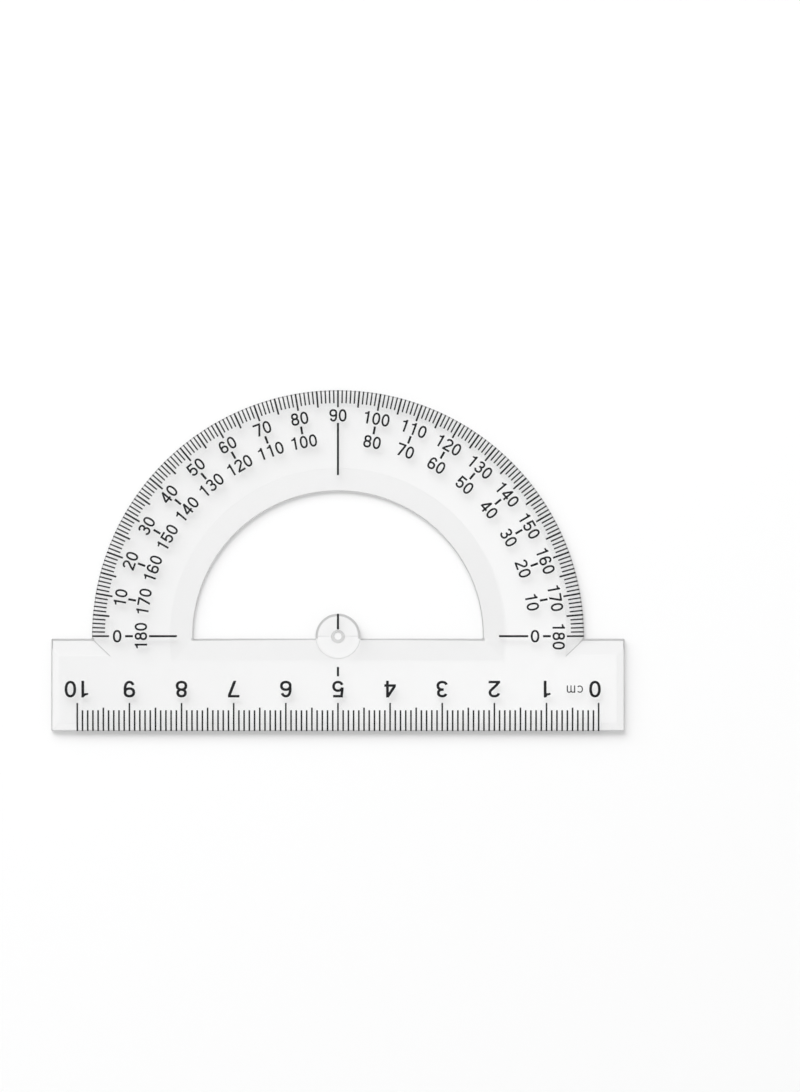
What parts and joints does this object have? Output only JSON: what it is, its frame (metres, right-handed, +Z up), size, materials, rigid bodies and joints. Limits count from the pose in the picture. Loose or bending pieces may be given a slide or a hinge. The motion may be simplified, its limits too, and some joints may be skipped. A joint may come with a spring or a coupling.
{
  "type": "protractor",
  "caption": "Clear plastic half-circle protractor with printed degree rows, a bevelled window with a bored centre boss, and a centimetre ruler along its base.",
  "frame": {"origin": "vertex of the degree scale (axis of the centre hole) on the underside of the plate", "axes": "+X along the base towards the ruler's zero, +Y towards the 90 degree mark, +Z up out of the printed face"},
  "size_m": [0.11, 0.0654, 0.002],
  "materials": {
    "clear_plastic": "clear, polished moulding",
    "black_ink": "satin printed ink"
  },
  "bodies": {
    "root": {"plate": "clear_plastic", "one_degree_lines": "black_ink", "five_degree_lines": "black_ink", "ten_degree_lines": "black_ink", "outer_degree_numerals": "black_ink", "inner_degree_numerals": "black_ink", "numeral_dashes": "black_ink", "zero_line_left": "black_ink", "zero_line_right": "black_ink", "ninety_line": "black_ink", "vertex_index": "black_ink", "millimetre_lines": "black_ink", "half_centimetre_lines": "black_ink", "centimetre_lines": "black_ink", "centimetre_numerals": "black_ink", "unit_mark": "black_ink", "middle_mark": "black_ink"}
  },
  "joints": []
}
